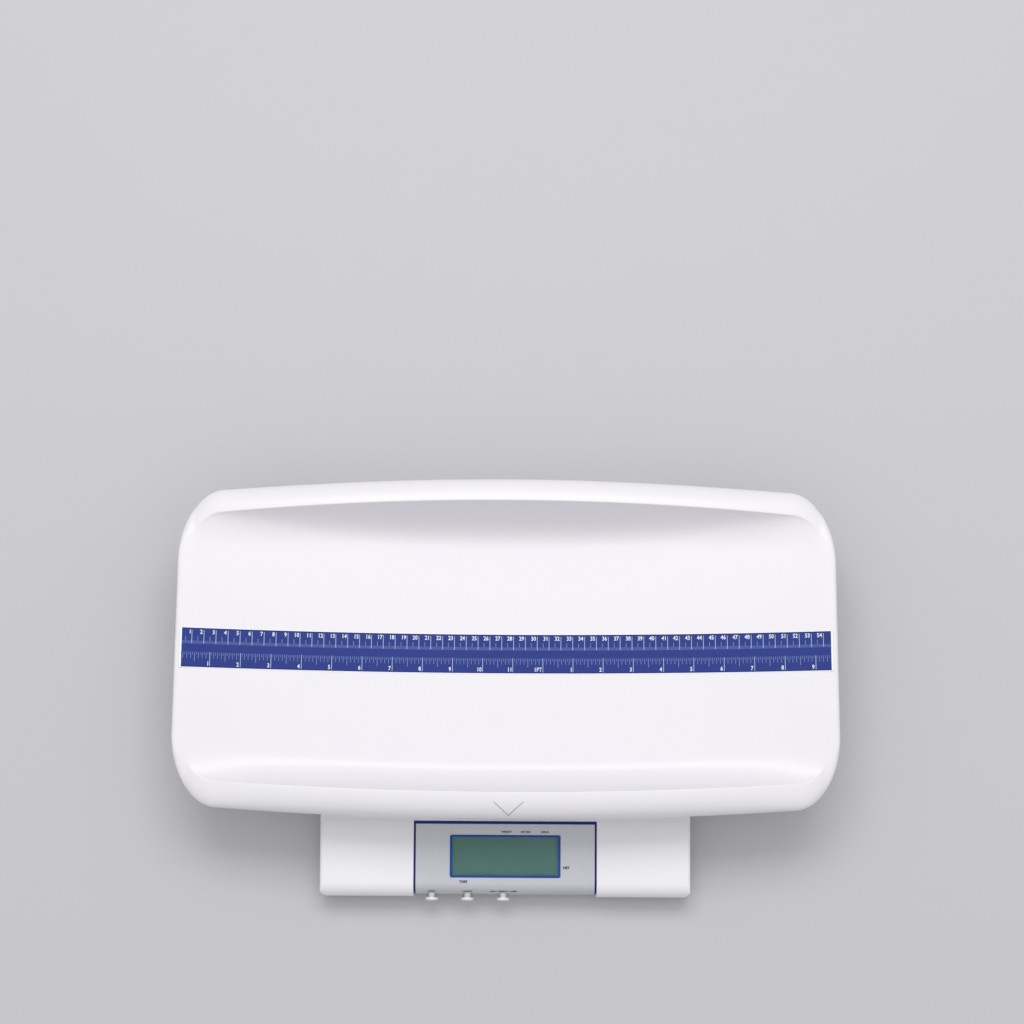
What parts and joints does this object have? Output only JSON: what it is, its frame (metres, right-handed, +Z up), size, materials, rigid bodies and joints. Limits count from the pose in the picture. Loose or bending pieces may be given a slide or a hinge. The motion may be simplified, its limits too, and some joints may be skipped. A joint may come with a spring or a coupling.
{
  "type": "baby weighing scale",
  "caption": "Low digital baby scale: wide bowed white tray with a blue length tape, resting on a load-cell base with a display console and push buttons in front.",
  "frame": {"origin": "on the table, under the middle of the scale's box", "axes": "+X to the right along the tray's length, +Y to the back away from the console, +Z up"},
  "size_m": [0.552, 0.349, 0.095],
  "materials": {
    "tray_white": "smooth glossy white moulding",
    "tape_print": "printed film, satin",
    "cup_white": "satin",
    "housing_white": "smooth semi-gloss moulding",
    "pan_white": "fine satin moulding",
    "foot_rubber": "matte",
    "screw_steel": "plated",
    "fascia_silver": "silver-grey film with a brushed look",
    "trim_blue": "gloss",
    "frame_blue": "gloss",
    "window_clear": "clear, polished",
    "lcd_grey": "blank grey-green display",
    "carrier_plastic": "satin",
    "board_green": "solder mask",
    "buzzer_black": "satin",
    "switch_black": "satin",
    "button_chrome": "bright plated",
    "plunger_dark": "satin",
    "plate_steel": "zinc plated",
    "spacer_steel": "plain",
    "bolt_black": "black oxide",
    "cell_aluminium": "milled",
    "gauge_film": "foil film",
    "lead_grey": "sleeve",
    "lead_red": "sleeve",
    "post_steel": "turned",
    "pad_rubber": "matte",
    "box_white": "satin",
    "battery_label": "plain sleeve",
    "contact_nickel": "nickel",
    "door_white": "fine satin moulding"
  },
  "bodies": {
    "base": {"top_cover": "housing_white", "bottom_pan": "pan_white", "rubber_feet": "foot_rubber", "housing_screws": "screw_steel", "display_fascia": "fascia_silver", "fascia_trim": "trim_blue", "window_frame": "frame_blue", "display_window": "window_clear", "lcd_glass": "lcd_grey", "lcd_carrier": "carrier_plastic", "main_board": "board_green", "board_screws": "screw_steel", "buzzer": "buzzer_black", "button_board": "board_green", "key_switches": "switch_black", "chassis_plate": "plate_steel", "chassis_screws": "screw_steel", "lower_spacer": "spacer_steel", "cell_screws": "bolt_black", "load_cell": "cell_aluminium", "strain_gauges": "gauge_film", "overload_stops": "screw_steel", "cell_lead": "lead_grey", "battery_box": "box_white", "batteries": "battery_label", "battery_contacts": "contact_nickel", "battery_lead": "lead_red"},
    "platform": {"upper_spacer": "spacer_steel", "load_spider": "plate_steel", "spider_screws": "bolt_black", "support_posts": "post_steel", "post_screws": "screw_steel", "post_pads": "pad_rubber"},
    "tray_unit": {"tray": "tray_white", "measuring_tape": "tape_print", "locating_cups": "cup_white"},
    "unit_key": {"unit_button": "button_chrome", "unit_plunger": "plunger_dark"},
    "hold_key": {"hold_button": "button_chrome", "hold_plunger": "plunger_dark"},
    "power_key": {"power_button": "button_chrome", "power_plunger": "plunger_dark"},
    "battery_hatch": {"battery_door": "door_white"}
  },
  "joints": [
    {"name": "weigh_travel", "type": "slide", "parent": "base", "child": "platform", "axis": [0, 0, -1], "range_m": [0, 0.0005], "stiffness_N_per_m": 400000, "springref_m": -0.00005, "deforming": ["load_cell"]},
    {"name": "tray_lift", "type": "slide", "parent": "platform", "child": "tray_unit", "axis": [0, 0, 1], "range_m": [0, 0.08]},
    {"name": "unit_press", "type": "slide", "parent": "base", "child": "unit_key", "axis": [0, 1, 0], "range_m": [0, 0.001], "stiffness_N_per_m": 1500, "springref_m": -0.0003},
    {"name": "hold_press", "type": "slide", "parent": "base", "child": "hold_key", "axis": [0, 1, 0], "range_m": [0, 0.001], "stiffness_N_per_m": 1500, "springref_m": -0.0003},
    {"name": "power_press", "type": "slide", "parent": "base", "child": "power_key", "axis": [0, 1, 0], "range_m": [0, 0.001], "stiffness_N_per_m": 1500, "springref_m": -0.0003},
    {"name": "hatch_slide", "type": "slide", "parent": "base", "child": "battery_hatch", "axis": [0, -1, 0], "range_m": [0, 0.008]}
  ]
}
